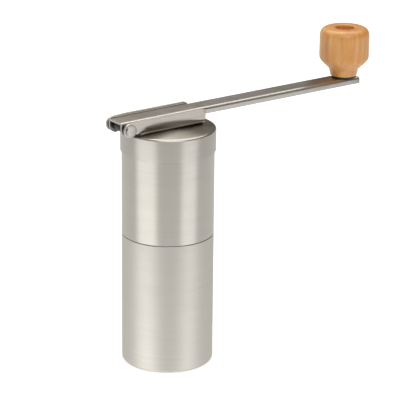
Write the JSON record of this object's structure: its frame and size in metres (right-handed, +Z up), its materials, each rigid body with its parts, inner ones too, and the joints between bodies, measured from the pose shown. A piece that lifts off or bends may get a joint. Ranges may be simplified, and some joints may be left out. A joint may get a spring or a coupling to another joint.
{
  "type": "hand crank coffee grinder",
  "caption": "Slim cylindrical hand coffee grinder in brushed steel, with conical burrs, a screwless ground-coffee container, a lift-off lid and a folding crank with a wooden knob.",
  "frame": {"origin": "centre of the base, on the plane that the foot ring stands on", "axes": "+Z up along the grinder's axis; the crank's arm points along +X in use; the hinge pin lies along Y"},
  "size_m": [0.1795, 0.0546, 0.1804],
  "materials": {
    "brushed_steel": "circumferentially brushed stainless steel",
    "polished_steel": "rolled and polished stainless steel sheet",
    "turned_steel": "turned steel",
    "spring_steel": "bright spring steel",
    "bronze": "sintered bronze",
    "beech": "oiled beech with a fine vertical grain",
    "black_plastic": "matte moulded nylon",
    "washer_plastic": "natural acetal",
    "silicone": "translucent silicone",
    "ceramic": "unglazed white ceramic"
  },
  "bodies": {
    "container": {"container_cup": "brushed_steel"},
    "grinder_body": {"body_tube": "brushed_steel", "burr_housing": "black_plastic", "seal_ring": "silicone", "outer_burr": "ceramic", "burr_retainer": "black_plastic", "retainer_screws": "turned_steel", "lower_bush": "bronze", "shaft_guide": "black_plastic", "upper_bush": "bronze"},
    "lid": {"cap_shell": "brushed_steel", "cap_liner": "black_plastic", "spindle_bush": "bronze"},
    "crank": {"crank_bracket": "polished_steel", "drive_spindle": "turned_steel", "thrust_washer": "black_plastic", "socket_washer": "washer_plastic", "hinge_pin": "turned_steel", "head_washers": "black_plastic"},
    "arm": {"crank_arm": "polished_steel", "pin_sleeve": "turned_steel", "knob_post": "turned_steel", "knob_washer": "black_plastic"},
    "knob": {"knob": "beech", "knob_bush": "bronze"},
    "rotor": {"grinder_shaft": "turned_steel", "shaft_clip": "spring_steel", "spring_seat": "turned_steel", "burr_spring": "spring_steel"},
    "burr_carriage": {"inner_burr": "ceramic", "burr_driver": "black_plastic", "click_plate": "turned_steel"},
    "nut": {"adjust_nut": "black_plastic"}
  },
  "joints": [
    {"name": "body_lift", "type": "slide", "parent": "container", "child": "grinder_body", "axis": [0, 0, 1], "range_m": [0, 0.05]},
    {"name": "lid_lift", "type": "slide", "parent": "grinder_body", "child": "lid", "axis": [0, 0, 1], "range_m": [0, 0.05]},
    {"name": "crank_spin", "type": "hinge", "parent": "lid", "child": "crank", "pos_m": [0, 0, 0.142], "axis": [0, 0, 1], "continuous": true},
    {"name": "arm_fold", "type": "hinge", "parent": "crank", "child": "arm", "pos_m": [-0.032, 0, 0.146], "axis": [0, 1, 0], "range_deg": [-270, 0]},
    {"name": "knob_spin", "type": "hinge", "parent": "arm", "child": "knob", "pos_m": [0.1285, 0, 0.165], "axis": [0, 0, 1], "continuous": true},
    {"name": "burr_spin", "type": "hinge", "parent": "grinder_body", "child": "rotor", "pos_m": [0, 0, 0.095], "axis": [0, 0, 1], "continuous": true},
    {"name": "burr_gap", "type": "slide", "parent": "rotor", "child": "burr_carriage", "axis": [0, 0, 1], "range_m": [0, 0.0016], "deforming": ["burr_spring"]},
    {"name": "nut_turn", "type": "hinge", "parent": "burr_carriage", "child": "nut", "pos_m": [0, 0, 0.062], "axis": [0, 0, 1], "range_deg": [0, 720]}
  ],
  "couplings": [
    {"joint": "burr_spin", "follows": "crank_spin", "ratio": 1},
    {"joint": "burr_gap", "follows": "nut_turn", "m_per_rad": 0.00012732}
  ]
}
